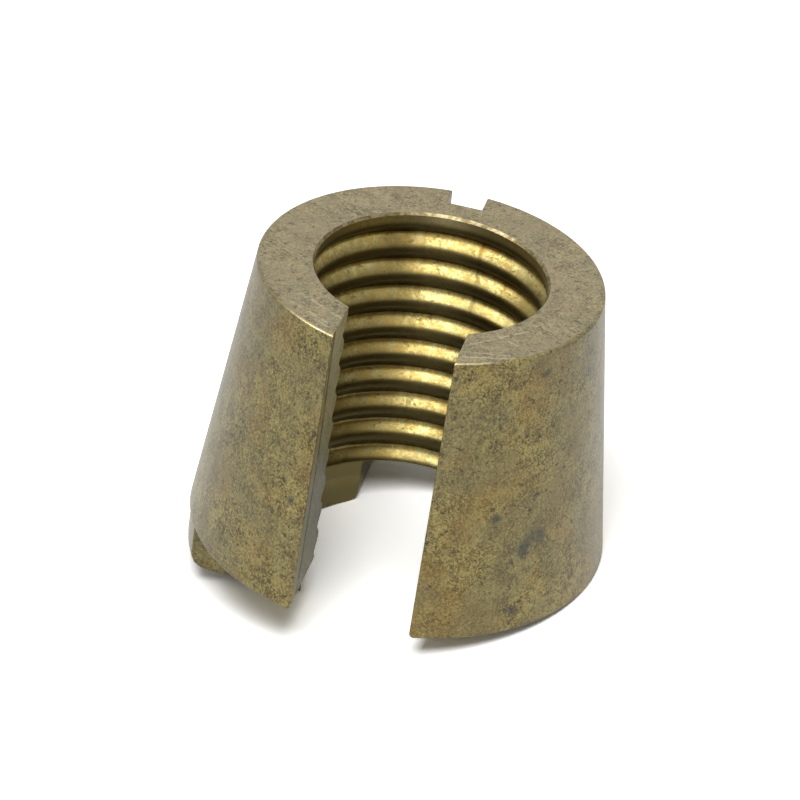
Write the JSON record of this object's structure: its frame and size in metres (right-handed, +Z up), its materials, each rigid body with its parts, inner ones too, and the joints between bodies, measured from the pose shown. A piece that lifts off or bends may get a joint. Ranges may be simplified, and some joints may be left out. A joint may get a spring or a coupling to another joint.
{
  "type": "ring-grooved taper ferrule",
  "caption": "Tapered split brass ferrule with nine ring grooves in its bore, a slotted wall, an outer keyway and a drive foot on its large end.",
  "frame": {"origin": "on the table, under the middle of the part as it rests", "axes": "+Z up from the table; the slot faces -Y; the bore axis leans 10.0 degrees from +Z towards +X, because the part rests on its foot and the rim of its large end"},
  "size_m": [0.0272, 0.0259, 0.0224],
  "materials": {
    "brass": "aged turned brass, satin, darker outside and brighter on the ring flanks"
  },
  "bodies": {
    "root": {"ferrule": "brass"}
  },
  "joints": []
}
